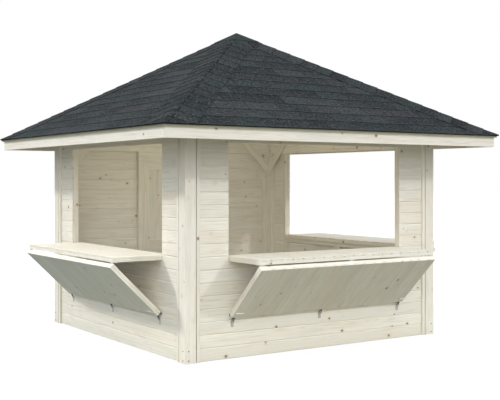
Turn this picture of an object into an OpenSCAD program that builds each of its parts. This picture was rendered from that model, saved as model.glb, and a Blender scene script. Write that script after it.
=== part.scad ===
/* [Plan and posts] */
// Outside width of the square plan over the posts, mm
stall_w = 2900; // [2600:10:3600]
// Width of a square corner post
post_w = 110; // [100:1:140]
// Height of a corner post from the ground to the wall plate
post_h = 2042; // [1980:1:2300]
// Chamfer along the edges of a corner post
post_chamfer = 5; // [1:0.5:10]

/* [Walls] */
// Cover width of one horizontal wall board
board_cover = 112; // [104:1:118]
// Thickness of a wall board
board_t = 18; // [14:1:20]
// Outer face of the boards behind the outer face of the posts
board_setback = 22; // [12:1:24]
// Width of a stud
stud_w = 45; // [35:1:60]
// Depth of a stud behind the boards
stud_d = 50; // [40:1:52]
// Width of the stud under the middle of a counter
mid_stud_w = 55; // [45:1:80]
// Height of the rail that carries a counter
sill_rail_h = 45; // [35:1:80]
// Width of the cover strip beside each post
strip_w = 32; // [24:1:60]
// Thickness of the cover strip beside each post
strip_t = 19; // [6:1:21]
// Groove between a cover strip and its post
strip_groove = 10; // [3:1:14]
// Height of the lintel between two posts
lintel_h = 155; // [140:1:200]

/* [Serving counters] */
// Clear width of a serving opening
opening_w = 2000; // [1600:10:2200]
// Wall boards from the ground up to the top of a counter
counter_rows = 8; // [7:1:9]
// Outer edge of a counter beyond the outer face of the posts
counter_reach = 455; // [400:1:460]
// Inner edge of a counter past the inner face of the studs
counter_inset = 30; // [10:1:60]
// Thickness of the counter boards
counter_board_t = 20; // [16:1:26]
// Height of the frame under the counter boards
counter_frame_t = 25; // [18:1:40]
// Width of the frame under the counter boards
counter_frame_w = 60; // [40:1:90]
// Clearance between a counter end and the side of its opening
counter_clear = 3; // [1:0.5:8]
// Fitting gap between the timbers of a counter or flap
timber_gap = 0.2; // [0.1:0.1:0.5]

/* [Folding flaps] */
// Slope of a flap, from the level
flap_angle = 44; // [38:1:46]
// Thickness of the boards of a flap
flap_board_t = 18; // [14:1:24]
// Thickness of the frame behind the boards of a flap
flap_frame_t = 27; // [18:1:36]
// Width of the frame behind the boards of a flap
flap_frame_w = 70; // [50:1:100]
// Gap between the top of a flap and the counter
flap_gap = 10; // [8:1:14]
// Gap between the foot of a flap and the wall boards
flap_foot_gap = 8; // [5:0.5:12]
// Top of a flap behind the outer edge of the counter
flap_back = 5; // [0:1:20]

/* [Flap fittings] */
// Thickness of the hinge plates
hinge_t = 4; // [3:0.5:5]
// Diameter of a foot hinge knuckle
hinge_knuckle_d = 12; // [10:1:14]
// Width of a hinge across its knuckle
hinge_w = 60; // [40:1:80]
// Length of the knuckle between a flap and its counter
top_hinge_w = 40; // [30:1:55]
// Width of the strap that slants from a flap down to the wall
strap_w = 26; // [20:1:34]
// Drop of the strap from the flap to the wall
strap_drop = 62; // [52:1:110]
// Width of the slot in the strap
strap_slot = 9; // [5:0.5:12]
// Height of the strap's foot on the wall
strap_foot = 26; // [22:1:40]
// Screw hole in the strap's foot
strap_hole_d = 9; // [5:0.5:12]
// Hinge centre from the end of the flap
hinge_end = 32; // [31:1:60]
// Length of a bow handle on a flap
bow_len = 85; // [70:1:120]
// Diameter of the bow handle's bar
bow_d = 8; // [6:1:12]
// Clear space behind the bow handle's bar
bow_clear = 10; // [6:1:24]
// Bow handle's bar up the slope from its feet
bow_lean = 26; // [10:1:40]
// Height of a bow handle's foot
bow_foot_h = 4; // [3:0.5:6]
// Bow handle's feet above the foot of the flap
bow_up = 48; // [40:1:120]

/* [Knee braces] */
// Width of a knee brace
brace_w = 95; // [70:1:120]
// Thickness of a knee brace
brace_t = 18; // [14:1:19]
// Height of the brace's lower edge on the post, below the post top
brace_drop = 412; // [320:1:480]

/* [Roof timbers] */
// Slope of the four roof faces
roof_pitch = 30; // [26:1:34]
// Height of a wall plate
plate_h = 107; // [80:1:140]
// Depth of the seat cut where a rafter sits on its plate
rafter_seat = 8; // [5:1:15]
// Width of a rafter
rafter_w = 45; // [36:1:60]
// Depth of a rafter, square to its slope
rafter_d = 95; // [80:1:120]
// Distance of a short rafter from the middle of its roof face
jack_x = 620; // [450:10:800]
// Plumb depth of a hip rafter
hip_plumb = 115; // [112:1:124]
// Width across the flats of the eight-sided block at the peak
peak_w = 140; // [120:1:180]
// Length of the peak block below its point
peak_drop = 190; // [160:1:320]

/* [Roof skin] */
// Edge of the covering beyond the outer face of the posts
eave_reach = 452; // [400:1:520]
// Thickness of the roof boarding
deck_t = 18; // [14:1:24]
// Edge of the boarding behind the edge of the covering
deck_back = 12; // [5:1:20]
// Thickness of the roof covering
cover_t = 6; // [4:0.5:10]
// Fitting gap under each layer of the roof skin
skin_gap = 0.2; // [0.1:0.1:0.5]
// Height of the eaves board on its outer face
fascia_h = 103; // [100:1:140]
// Thickness of the eaves board
fascia_t = 20; // [16:1:28]
// Outer face of the eaves board behind the edge of the covering
fascia_back = 32; // [25:1:60]

/* [Back door] */
// Width of the door leaf
leaf_w = 780; // [700:5:860]
// Thickness of the door leaf
leaf_t = 40; // [34:1:44]
// Width of the door stiles
stile_w = 82; // [80:1:120]
// Height of the top rail
top_rail_h = 82; // [80:1:120]
// Height of the middle rail
mid_rail_h = 120; // [90:1:160]
// Top of the middle rail above the ground
mid_rail_top = 868; // [800:1:1000]
// Height of the bottom rail
bottom_rail_h = 150; // [120:1:220]
// Thickness of the boarded door panels
panel_t = 18; // [14:1:24]
// Clearance around the door leaf
door_gap = 5; // [5:0.5:8]
// Width of a door jamb seen from the front
jamb_w = 65; // [50:1:80]
// Width of the stop that the leaf shuts against
stop_w = 13; // [12:1:25]
// Height of the door head under the lintel
door_head_h = 112; // [70:1:120]
// Height of the threshold
threshold_h = 28; // [20:1:45]

/* [Door fittings] */
// Distance of the hinge pin outside the face of the leaf
pin_out = 12; // [12:0.5:15]
// Thickness of the neck between a hinge plate and its knuckle
neck_t = 6; // [4:0.5:6]
// Diameter of a hinge knuckle
knuckle_d = 12; // [10:1:12]
// Length of one half of a hinge knuckle
knuckle_len = 40; // [30:1:60]
// Running gap between the two halves of a hinge knuckle
knuckle_gap = 0.3; // [0.2:0.1:1]
// Length of a hinge strap across the leaf
door_strap_len = 260; // [180:5:340]
// Height of a hinge strap
door_strap_h = 32; // [24:1:40]
// Thickness of the door's steel plates
plate_t = 3; // [2:0.5:5]
// Upper hinge below the top of the leaf
hinge_top = 220; // [150:5:320]
// Lower hinge above the bottom of the leaf
hinge_low = 230; // [150:5:320]
// Height of the lever handle above the ground
lever_z = 1000; // [950:5:1100]
// Length of the lever
lever_len = 115; // [90:1:140]
// Diameter of the lever
lever_d = 16; // [12:1:20]
// Lever's centre line away from the face of the leaf
lever_out = 42; // [34:1:50]
// Width of the plate behind the lever
rose_w = 38; // [30:1:46]
// Height of the plate behind the lever
rose_h = 190; // [140:1:240]

/* [Hidden] */
$fn = 48;
half = stall_w / 2;
clad = half - board_setback;
board_in = clad - board_t;
stud_in = board_in - stud_d;
post_in = half - post_w;
lintel_z = post_h - lintel_h;
open_x = opening_w / 2;

counter_z = counter_rows * board_cover;
counter_t = counter_board_t + counter_frame_t;
counter_under = counter_z - counter_t;
counter_out = half + counter_reach;
counter_in = stud_in - counter_inset;
counter_w = opening_w - 2 * counter_clear;

flap_t = flap_board_t + flap_frame_t;
flap_top = [counter_out - flap_back, counter_under - flap_gap];
flap_foot_h = clad + flap_foot_gap;
flap_len = (flap_top[0] - flap_foot_h) / cos(flap_angle);
flap_foot = [flap_foot_h, flap_top[1] - flap_len * sin(flap_angle)];
hinge_x = counter_w / 2 - hinge_end;
knuckle_r = hinge_knuckle_d / 2;
knuckle_h = clad + knuckle_r + 0.5;
knuckle_off = knuckle_r + hinge_t - 1;
knuckle_z = flap_foot[1]
    - (knuckle_off + (knuckle_h - flap_foot[0]) * cos(flap_angle)) / sin(flap_angle);
strap_h = flap_foot[0] + (flap_t - 8) * sin(flap_angle) - hinge_t * cos(flap_angle);
strap_z = flap_foot[1] - (flap_t - 8) * cos(flap_angle) - hinge_t * sin(flap_angle);

slope = tan(roof_pitch);
plate_top = post_h + plate_h;
rafter_plumb = rafter_d / cos(roof_pitch);
deck_plumb = deck_t / cos(roof_pitch);
cover_plumb = cover_t / cos(roof_pitch);
rafter_peak = plate_top - rafter_seat + rafter_plumb + clad * slope;
eave = half + eave_reach;
deck_edge = eave - deck_back;
fascia_out = eave - fascia_back;
fascia_in = fascia_out - fascia_t;
peak_flat = peak_w / 2;
far = 2 * eave;
function rafter_top(h) = rafter_peak - h * slope;
fascia_z = rafter_top(fascia_out) - fascia_h;

leaf_x = leaf_w / 2;
jamb_x = leaf_x + door_gap;
frame_x = jamb_x + jamb_w;
door_head_z = lintel_z - door_head_h;
leaf_z = threshold_h + door_gap;
leaf_top = door_head_z - door_gap;
leaf_in = clad - leaf_t;
stop_in = leaf_in - door_gap;
pin_x = -(leaf_x + 1.6 * door_gap);
pin_y = clad + pin_out;
strap_x = -leaf_x + door_gap;
lever_x = leaf_x - stile_w / 2;
hinge_heights = [leaf_z + hinge_low, leaf_top - hinge_top];

// Turns a front piece round to another wall: 0 front, 90 right, 180 back, 270 left
module turn(a) {
    rotate([0, 0, a])
        children();
}

// Profile drawn in y and z, run along x
module along_x(points, w) {
    rotate([90, 0, 90])
        translate([0, 0, -w / 2])
            linear_extrude(height = w)
                polygon(points);
}

// Plan of one roof face between its two hips, moved off the hip lines by inset
module quarter(inset = 0) {
    translate([0, 0, -50])
        linear_extrude(height = rafter_peak + 400)
            polygon([[0, -inset], [-far, -far - inset], [far, -far - inset]]);
}

// Everything under the plane of the rafter tops
module under_rafter_tops(reach) {
    profile = [
        [0, rafter_peak],
        [-reach, rafter_top(reach)],
        [-reach, 0],
        [reach, 0],
        [reach, rafter_top(reach)]
    ];
    intersection() {
        along_x(profile, 2 * reach);
        turn(90)
            along_x(profile, 2 * reach);
    }
}

module corner_post() {
    c = post_chamfer;
    w = post_w;
    linear_extrude(height = post_h)
        polygon([[c, 0], [w - c, 0], [w, c], [w, w - c], [w - c, w], [c, w], [0, w - c], [0, c]]);
}

module corner_posts() {
    color("burlywood")
        for (a = [0:90:270])
            turn(a)
                translate([-half, -half, 0])
                    corner_post();
}

module lower_wall() {
    translate([-post_in, -clad, 0])
        cube([2 * post_in, board_t, counter_under]);
}

module front_lower_wall() {
    color("wheat")
        lower_wall();
}

module left_lower_wall() {
    color("wheat")
        turn(270)
            lower_wall();
}

module right_lower_wall() {
    color("wheat")
        turn(90)
            lower_wall();
}

module side_walls() {
    for (s = [-1, 1])
        translate([s * (open_x + post_in) / 2, -(clad + board_in) / 2, (counter_under + lintel_z) / 2])
            cube([post_in - open_x, board_t, lintel_z - counter_under], center = true);
}

module front_side_walls() {
    color("wheat")
        side_walls();
}

module left_side_walls() {
    color("wheat")
        turn(270)
            side_walls();
}

module right_side_walls() {
    color("wheat")
        turn(90)
            side_walls();
}

module back_wall_left() {
    color("wheat")
        translate([-post_in, board_in, 0])
            cube([post_in - frame_x, board_t, lintel_z]);
}

module back_wall_right() {
    color("wheat")
        translate([frame_x, board_in, 0])
            cube([post_in - frame_x, board_t, lintel_z]);
}

module stud(x, w, h) {
    translate([x - w / 2, -board_in, 0])
        cube([w, stud_d, h]);
}

module wall_studs() {
    color("tan") {
        for (a = [0:90:270], s = [-1, 1])
            turn(a)
                stud(s * (post_in - stud_w / 2), stud_w, lintel_z);
        for (a = [0, 90, 270]) {
            turn(a)
                stud(0, mid_stud_w, counter_under - sill_rail_h);
            for (s = [-1, 1])
                turn(a)
                    stud(s * (open_x + stud_w / 2), stud_w, lintel_z);
        }
    }
}

module sill_rails() {
    color("tan")
        for (a = [0, 90, 270])
            turn(a)
                translate([-open_x, -board_in, counter_under - sill_rail_h])
                    cube([opening_w, stud_d, sill_rail_h]);
}

module cover_strips() {
    color("burlywood")
        for (a = [0:90:270], s = [-1, 1])
            turn(a)
                translate([s * (post_in - strip_groove - strip_w / 2), -clad - strip_t / 2, post_h / 2])
                    cube([strip_w, strip_t, post_h], center = true);
}

module lintels() {
    color("tan")
        for (a = [0:90:270])
            turn(a)
                translate([-post_in, -clad, lintel_z])
                    cube([2 * post_in, clad - stud_in, lintel_h]);
}

// Mitred over the posts, half a mitre at each end
module wall_plate() {
    intersection() {
        translate([-half, -clad, post_h])
            cube([stall_w, clad - stud_in, plate_h]);
        quarter();
    }
}

module all_plates() {
    for (a = [0:90:270])
        turn(a)
            wall_plate();
}

module front_plate() {
    color("tan")
        wall_plate();
}

module right_plate() {
    color("tan")
        turn(90)
            wall_plate();
}

module back_plate() {
    color("tan")
        turn(180)
            wall_plate();
}

module left_plate() {
    color("tan")
        turn(270)
            wall_plate();
}

// Flat board from the post up to the lintel, at 45 degrees
module knee_brace() {
    foot = post_h - brace_drop;
    rise = brace_w * sqrt(2);
    translate([0, -stud_in + brace_t, 0])
        rotate([90, 0, 0])
            linear_extrude(height = brace_t)
                polygon([
                    [post_in, foot],
                    [post_in, foot + rise],
                    [post_in - brace_drop + rise, post_h],
                    [post_in - brace_drop, post_h]
                ]);
}

module knee_braces() {
    color("burlywood")
        for (a = [0:90:270])
            turn(a) {
                knee_brace();
                mirror([1, 0, 0])
                    knee_brace();
            }
}

// Boards of a counter, laid across its frame
module counter() {
    translate([-counter_w / 2, -counter_out, counter_z - counter_board_t])
        cube([counter_w, counter_out - counter_in, counter_board_t]);
}

// Frame under a counter: outer rail, inner rail on the wall, three cross rails between them
module counter_frame() {
    inner = clad + counter_frame_w;
    bay = counter_out - counter_frame_w - inner - 2 * timber_gap;
    translate([-counter_w / 2, -counter_out, counter_under])
        cube([counter_w, counter_frame_w, counter_frame_t]);
    translate([-counter_w / 2, -inner, counter_under])
        cube([counter_w, inner - counter_in, counter_frame_t]);
    for (s = [-1, 0, 1])
        translate([
            s * (counter_w - counter_frame_w) / 2 - counter_frame_w / 2,
            -inner - timber_gap - bay,
            counter_under
        ])
            cube([counter_frame_w, bay, counter_frame_t]);
}

module counter_frames() {
    color("burlywood")
        for (a = [0, 90, 270])
            turn(a)
                counter_frame();
}

module front_counter() {
    color("moccasin")
        counter();
}

module left_counter() {
    color("moccasin")
        turn(270)
            counter();
}

module right_counter() {
    color("moccasin")
        turn(90)
            counter();
}

// Flap axes: x along the wall, y up the slope from the foot, z out of the boarded face
module on_flap() {
    translate([0, -flap_foot[0], flap_foot[1]])
        rotate([180 - flap_angle, 0, 0])
            children();
}

module flap() {
    on_flap()
        translate([-counter_w / 2, 0, flap_frame_t])
            cube([counter_w, flap_len, flap_board_t]);
}

// Frame behind a flap: rails at its foot and top, three cross rails between them
module flap_frame() {
    t = flap_frame_t - timber_gap;
    bay = flap_len - 2 * flap_frame_w - 2 * timber_gap;
    on_flap() {
        for (y = [0, flap_len - flap_frame_w])
            translate([-counter_w / 2, y, 0])
                cube([counter_w, flap_frame_w, t]);
        for (s = [-1, 0, 1])
            translate([
                s * (counter_w - flap_frame_w) / 2 - flap_frame_w / 2,
                flap_frame_w + timber_gap,
                0
            ])
                cube([flap_frame_w, bay, t]);
    }
}

module flap_frames() {
    color("burlywood")
        for (a = [0, 90, 270])
            turn(a)
                flap_frame();
}

module front_flap() {
    color("moccasin")
        flap();
}

module left_flap() {
    color("moccasin")
        turn(270)
            flap();
}

module right_flap() {
    color("moccasin")
        turn(90)
            flap();
}

// Foot hinge: plate on the end of the flap, knuckle, and a slotted strap that slants down to the wall
module foot_hinge() {
    low = strap_z - strap_drop;
    difference() {
        along_x([
            [-strap_h, strap_z + hinge_t],
            [-strap_h, strap_z],
            [-clad - hinge_t, low],
            [-clad - hinge_t, low - strap_foot],
            [-clad, low - strap_foot],
            [-clad, low + hinge_t],
            [hinge_t - strap_h, strap_z + 2.2 * hinge_t]
        ], strap_w);
        translate([-strap_slot / 2, -strap_h - 1, low + 8])
            cube([strap_slot, strap_h - clad + 2, strap_drop - 20]);
        translate([0, -clad + 1, low - strap_foot / 2])
            rotate([90, 0, 0])
                cylinder(d = strap_hole_d, h = hinge_t + 2);
    }
    translate([-hinge_w / 2, -knuckle_h, knuckle_z])
        rotate([0, 90, 0])
            cylinder(d = hinge_knuckle_d, h = hinge_w);
    on_flap()
        translate([-0.4 * hinge_w, -hinge_t, 0])
            cube([0.8 * hinge_w, hinge_t, flap_t - 6]);
}

// Top hinge: plate on the inner face of the flap, knuckle, and a plate under the counter
module top_hinge() {
    on_flap()
        translate([-hinge_w / 2, flap_len - flap_frame_w + 8, -hinge_t])
            cube([hinge_w, flap_frame_w - 8, hinge_t]);
    translate([-top_hinge_w / 2, -flap_top[0] + 1, counter_under - flap_gap / 2])
        rotate([0, 90, 0])
            cylinder(d = flap_gap - 1, h = top_hinge_w);
    translate([-hinge_w / 2, -counter_out + 1, counter_under - hinge_t])
        cube([hinge_w, counter_frame_w - 8, hinge_t]);
}

module flap_hinges() {
    color("silver")
        for (a = [0, 90, 270], x = [-hinge_x, 0, hinge_x])
            turn(a)
                translate([x, 0, 0]) {
                    foot_hinge();
                    top_hinge();
                }
}

// Bow handle: two square feet, legs that lean up the slope, and a bar between them
module bow_handle() {
    rise = bow_clear + bow_d / 2 - bow_foot_h;
    foot = 1.6 * bow_d;
    translate([-bow_len / 2, bow_up + bow_lean, flap_t + bow_foot_h + rise])
        rotate([0, 90, 0])
            cylinder(d = bow_d, h = bow_len);
    for (s = [-1, 1])
        translate([s * (bow_len - bow_d) / 2, bow_up, flap_t]) {
            translate([-foot / 2, -foot / 2, 0])
                cube([foot, foot, bow_foot_h]);
            translate([0, 0, bow_foot_h])
                rotate([-atan2(bow_lean, rise), 0, 0])
                    cylinder(d = 0.85 * bow_d, h = sqrt(bow_lean * bow_lean + rise * rise));
        }
}

module flap_handles() {
    color("silver")
        for (a = [0, 90, 270], s = [-1, 1])
            turn(a)
                on_flap()
                    translate([s * (counter_w / 2 - bow_len / 2 - 6), 0, 0])
                        bow_handle();
}

// Jamb with the stop that the leaf shuts against
module door_jambs() {
    color("tan")
        for (s = [-1, 1])
            linear_extrude(height = door_head_z)
                polygon([
                    [s * frame_x, stud_in],
                    [s * frame_x, clad],
                    [s * jamb_x, clad],
                    [s * jamb_x, stop_in],
                    [s * (jamb_x - stop_w), stop_in],
                    [s * (jamb_x - stop_w), stud_in]
                ]);
}

module door_head() {
    color("tan") {
        translate([-frame_x, stud_in, door_head_z])
            cube([2 * frame_x, clad - stud_in, door_head_h]);
        translate([-(jamb_x - stop_w), stud_in, door_head_z - stop_w])
            cube([2 * (jamb_x - stop_w), stop_in - stud_in, stop_w]);
    }
}

module door_threshold() {
    color("tan")
        translate([-(jamb_x - stop_w), stud_in, 0])
            cube([2 * (jamb_x - stop_w), clad - stud_in, threshold_h]);
}

module door_opening(z0, z1) {
    translate([-(leaf_x - stile_w), leaf_in - 1, z0])
        cube([leaf_w - 2 * stile_w, leaf_t + 2, z1 - z0]);
}

module door_leaf() {
    color("burlywood")
        difference() {
            translate([-leaf_x, leaf_in, leaf_z])
                cube([leaf_w, leaf_t, leaf_top - leaf_z]);
            door_opening(leaf_z + bottom_rail_h, mid_rail_top - mid_rail_h);
            door_opening(mid_rail_top, leaf_top - top_rail_h);
        }
}

module door_panel(z0, z1) {
    translate([-(leaf_x - stile_w), (leaf_in + clad - panel_t) / 2, z0])
        cube([leaf_w - 2 * stile_w, panel_t, z1 - z0]);
}

module door_panels() {
    color("wheat") {
        door_panel(leaf_z + bottom_rail_h, mid_rail_top - mid_rail_h);
        door_panel(mid_rail_top, leaf_top - top_rail_h);
    }
}

// Strap across the outside of the leaf, with a neck up to the upper half of the knuckle
module door_straps() {
    color("silver")
        for (z = hinge_heights)
            translate([0, 0, z]) {
                translate([strap_x, clad, 0])
                    cube([door_strap_len, plate_t, door_strap_h]);
                translate([strap_x, clad, 0])
                    cube([neck_t, pin_out, door_strap_h]);
                translate([pin_x, pin_y - neck_t, 0])
                    cube([strap_x - pin_x + neck_t, neck_t, door_strap_h]);
                translate([pin_x, pin_y, 0])
                    cylinder(d = knuckle_d, h = knuckle_len);
            }
}

// Plate on the jamb with a neck out to the lower half of the knuckle
module door_pintles() {
    color("silver")
        for (z = hinge_heights)
            translate([0, 0, z - knuckle_gap - knuckle_len]) {
                translate([-frame_x + neck_t, clad, 0])
                    cube([frame_x + pin_x - neck_t, plate_t, knuckle_len]);
                translate([pin_x - neck_t, clad, 0])
                    cube([neck_t, pin_out, knuckle_len]);
                translate([pin_x, pin_y, 0])
                    cylinder(d = knuckle_d, h = knuckle_len);
            }
}

module lever(face, out) {
    translate([lever_x - rose_w / 2, min(face, face + out * plate_t), lever_z - rose_h / 2])
        cube([rose_w, plate_t, rose_h]);
    translate([lever_x, face, lever_z])
        rotate([-90 * out, 0, 0])
            cylinder(d = lever_d, h = lever_out);
    translate([lever_x, face + out * lever_out, lever_z])
        sphere(d = lever_d);
    translate([lever_x - lever_len, face + out * lever_out, lever_z])
        rotate([0, 90, 0])
            cylinder(d = lever_d, h = lever_len);
}

module door_levers() {
    color("silver") {
        lever(clad, 1);
        lever(leaf_in, -1);
    }
}

// Rafter from the eaves board to the peak block, with its seat cut over the plate
module rafter_body() {
    along_x([
        [-peak_flat, rafter_top(peak_flat) - rafter_plumb],
        [-fascia_in, rafter_top(fascia_in) - rafter_plumb],
        [-fascia_in, rafter_top(fascia_in)],
        [-peak_flat, rafter_top(peak_flat)]
    ], rafter_w);
}

module common_rafters() {
    color("peru")
        for (a = [0:90:270])
            turn(a)
                difference() {
                    union() {
                        rafter_body();
                        for (s = [-1, 1])
                            intersection() {
                                translate([s * jack_x, 0, 0])
                                    rafter_body();
                                quarter(rafter_w / sqrt(2));
                            }
                    }
                    wall_plate();
                }
}

// Hip on the diagonal: top backed to both roof faces, tail cut to both eaves boards
module hip_rafter() {
    tail = fascia_in * sqrt(2) + 60;
    low = [for (d = [peak_flat, tail]) rafter_top(d / sqrt(2)) - hip_plumb];
    difference() {
        intersection() {
            rotate([0, 0, 45])
                along_x([
                    [-peak_flat, low[0]],
                    [-tail, low[1]],
                    [-tail, low[1] + 500],
                    [-peak_flat, low[0] + 500]
                ], rafter_w);
            under_rafter_tops(fascia_in);
        }
        all_plates();
    }
}

module hip_rafters() {
    color("peru")
        for (a = [0:90:270])
            turn(a)
                hip_rafter();
}

// Eight-sided block that all the rafters meet
module peak_block() {
    r = peak_flat / cos(22.5);
    color("peru")
        intersection() {
            translate([0, 0, rafter_peak - peak_drop])
                linear_extrude(height = peak_drop + 50)
                    polygon([for (i = [0:7]) [r * cos(22.5 + 45 * i), r * sin(22.5 + 45 * i)]]);
            under_rafter_tops(peak_w);
        }
}

// Top bevelled to the roof boarding, ends mitred at the hips
module fascia() {
    intersection() {
        along_x([
            [-fascia_out, fascia_z],
            [-fascia_in, fascia_z],
            [-fascia_in, rafter_top(fascia_in)],
            [-fascia_out, rafter_top(fascia_out)]
        ], 2 * eave);
        quarter();
    }
}

module front_fascia() {
    color("bisque")
        fascia();
}

module right_fascia() {
    color("bisque")
        turn(90)
            fascia();
}

module back_fascia() {
    color("bisque")
        turn(180)
            fascia();
}

module left_fascia() {
    color("bisque")
        turn(270)
            fascia();
}

// Layer over the rafters, cut plumb at the eaves and mitred along both hips
module roof_layer(lift, plumb, edge) {
    intersection() {
        along_x([
            [0, rafter_peak + lift],
            [-edge, rafter_top(edge) + lift],
            [-edge, rafter_top(edge) + lift + plumb],
            [0, rafter_peak + lift + plumb]
        ], 2 * far);
        quarter();
    }
}

module deck() {
    color("tan")
        roof_layer(skin_gap, deck_plumb, deck_edge);
}

module covering() {
    color("dimgray")
        roof_layer(deck_plumb + 2 * skin_gap, cover_plumb, eave);
}

module front_deck() {
    deck();
}

module right_deck() {
    turn(90)
        deck();
}

module back_deck() {
    turn(180)
        deck();
}

module left_deck() {
    turn(270)
        deck();
}

module front_covering() {
    covering();
}

module right_covering() {
    turn(90)
        covering();
}

module back_covering() {
    turn(180)
        covering();
}

module left_covering() {
    turn(270)
        covering();
}

corner_posts();
front_lower_wall();
left_lower_wall();
right_lower_wall();
front_side_walls();
left_side_walls();
right_side_walls();
back_wall_left();
back_wall_right();
wall_studs();
sill_rails();
cover_strips();
lintels();
front_plate();
back_plate();
left_plate();
right_plate();
knee_braces();
front_counter();
left_counter();
right_counter();
counter_frames();
front_flap();
left_flap();
right_flap();
flap_frames();
flap_hinges();
flap_handles();
door_jambs();
door_head();
door_threshold();
door_pintles();
door_leaf();
door_panels();
door_straps();
door_levers();
hip_rafters();
common_rafters();
peak_block();
front_fascia();
back_fascia();
left_fascia();
right_fascia();
front_deck();
back_deck();
left_deck();
right_deck();
front_covering();
back_covering();
left_covering();
right_covering();
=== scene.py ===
import math
import random

import bmesh
import bpy
import numpy as np
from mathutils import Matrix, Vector


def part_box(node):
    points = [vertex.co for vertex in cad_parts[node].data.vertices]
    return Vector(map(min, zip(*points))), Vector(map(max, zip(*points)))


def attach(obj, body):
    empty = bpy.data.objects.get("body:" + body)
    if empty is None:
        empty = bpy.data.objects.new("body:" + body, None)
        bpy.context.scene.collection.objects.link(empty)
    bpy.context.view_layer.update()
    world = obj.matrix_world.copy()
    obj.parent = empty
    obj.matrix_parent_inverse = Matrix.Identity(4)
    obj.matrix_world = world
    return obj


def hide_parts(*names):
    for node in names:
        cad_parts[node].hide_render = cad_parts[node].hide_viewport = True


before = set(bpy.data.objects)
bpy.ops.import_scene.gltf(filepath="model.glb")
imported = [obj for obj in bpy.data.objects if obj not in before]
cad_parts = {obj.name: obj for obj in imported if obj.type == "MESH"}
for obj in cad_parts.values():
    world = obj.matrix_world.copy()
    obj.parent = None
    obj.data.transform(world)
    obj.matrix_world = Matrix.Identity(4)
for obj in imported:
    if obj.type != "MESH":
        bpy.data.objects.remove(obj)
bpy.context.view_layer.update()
rng = random.Random(4113)

# Sizes read off the solids, metres. h is the level distance from the middle of the plan.
wall_low, wall_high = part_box("front_lower_wall")
clad, board_in, post_in, counter_under = -wall_low.y, -wall_high.y, wall_high.x, wall_high.z
board_t = clad - board_in
lintel_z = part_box("front_side_walls")[1].z
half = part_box("corner_posts")[1].x
counter_low, counter_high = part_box("front_counter")
counter_out, counter_in = -counter_low.y, -counter_high.y
counter_x, counter_z = counter_high.x, counter_high.z
flap_low, flap_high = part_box("front_flap")
door_frame_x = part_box("door_head")[1].x
leaf_low, leaf_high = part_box("door_leaf")
leaf_t = leaf_high.y - leaf_low.y
strap_low, strap_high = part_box("door_straps")
roof_low, roof_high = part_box("front_covering")
eave, roof_peak = -roof_low.y, roof_high.z
deck_low, deck_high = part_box("front_deck")
deck_edge, deck_peak = -deck_low.y, deck_high.z

# Sizes that the boxes of the solids don't give
rows_to_counter = 8
board_cover = counter_z / rows_to_counter
counter_gap = 0.003
open_x = counter_x + counter_gap
counter_board_t, flap_board_t, flap_t, deck_t, panel_t = 0.020, 0.018, 0.045, 0.018, 0.018
pitch, flap_slope = math.radians(30), math.radians(44)
cos_p, sin_p, tan_p = math.cos(pitch), math.sin(pitch), math.tan(pitch)
cos_f, sin_f = math.cos(flap_slope), math.sin(flap_slope)

SIDES = {"front": 0, "right": 90, "back": 180, "left": 270}
SERVING_SIDES = ("front", "left", "right")


def at(side, x, h, z):
    """A point given as on the front wall, turned round to its own wall."""
    a = math.radians(SIDES[side])
    return Vector((x * math.cos(a) + h * math.sin(a), x * math.sin(a) - h * math.cos(a), z))


def next_side(side, turns):
    """The wall that many corners on, against the clock from above."""
    names = list(SIDES)
    return names[(names.index(side) + turns) % len(names)]


def within(value, high=1.0):
    return min(high, max(0.0, value))


def set_up(name, data):
    """Puts a mesh, a lamp or a camera in the scene."""
    thing = bpy.data.objects.new(name, data)
    bpy.context.scene.collection.objects.link(thing)
    return thing


# ---------------------------------------------------------------- finishes


class Wire:
    """One socket of a finish. Arithmetic on it adds the Math nodes."""

    def __init__(self, finish, socket):
        self.finish, self.socket = finish, socket

    def math(self, operation, *others):
        sockets = dict(enumerate((self, *others)))
        return self.finish.node("ShaderNodeMath", {"operation": operation}, sockets)

    def __add__(self, other):
        return self.math("ADD", other)

    def __mul__(self, other):
        return self.math("MULTIPLY", other)

    def __sub__(self, other):
        return self.math("SUBTRACT", other)

    def __pow__(self, other):
        return self.math("POWER", other)

    def __rsub__(self, other):
        return self.finish.node("ShaderNodeMath", {"operation": "SUBTRACT"}, {0: other, 1: self})

    __radd__ = __add__
    __rmul__ = __mul__


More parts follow.
